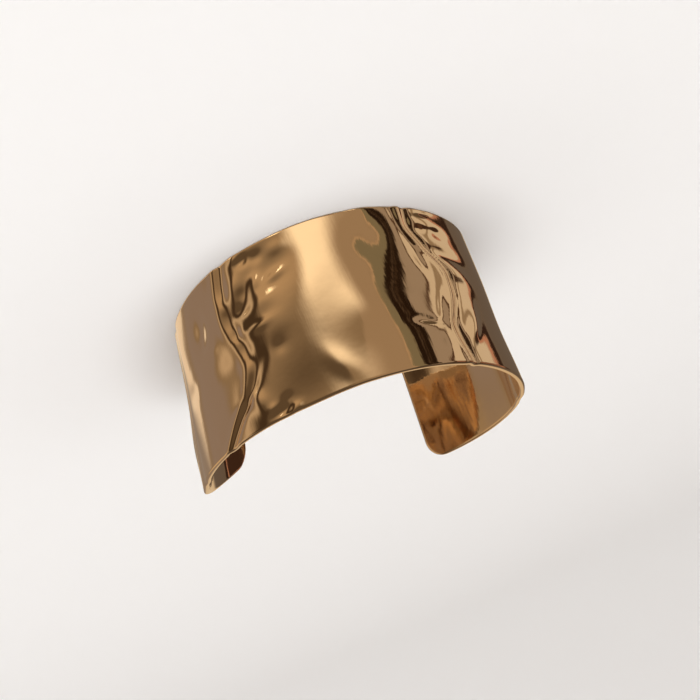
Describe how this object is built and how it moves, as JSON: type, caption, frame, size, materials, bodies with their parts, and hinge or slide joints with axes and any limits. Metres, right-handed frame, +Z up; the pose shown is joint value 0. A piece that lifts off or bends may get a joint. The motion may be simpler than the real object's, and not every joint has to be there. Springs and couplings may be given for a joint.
{
  "type": "cuff bracelet",
  "caption": "Wide open cuff bracelet of polished gold-coloured brass sheet, dented and folded all over, lying on its side on its flat rim.",
  "frame": {"origin": "on the surface the cuff lies on, under the middle of its outline", "axes": "+Z up along the wrist hole, from the flat rim to the free rim; the front faces -Y and the gap between the ends faces +Y"},
  "size_m": [0.0602, 0.0624, 0.03],
  "materials": {
    "gold_brass": "mirror-polished gold-coloured brass over pressed dents and folds, with fine scratches"
  },
  "bodies": {
    "root": {"cuff_band": "gold_brass"}
  },
  "joints": []
}
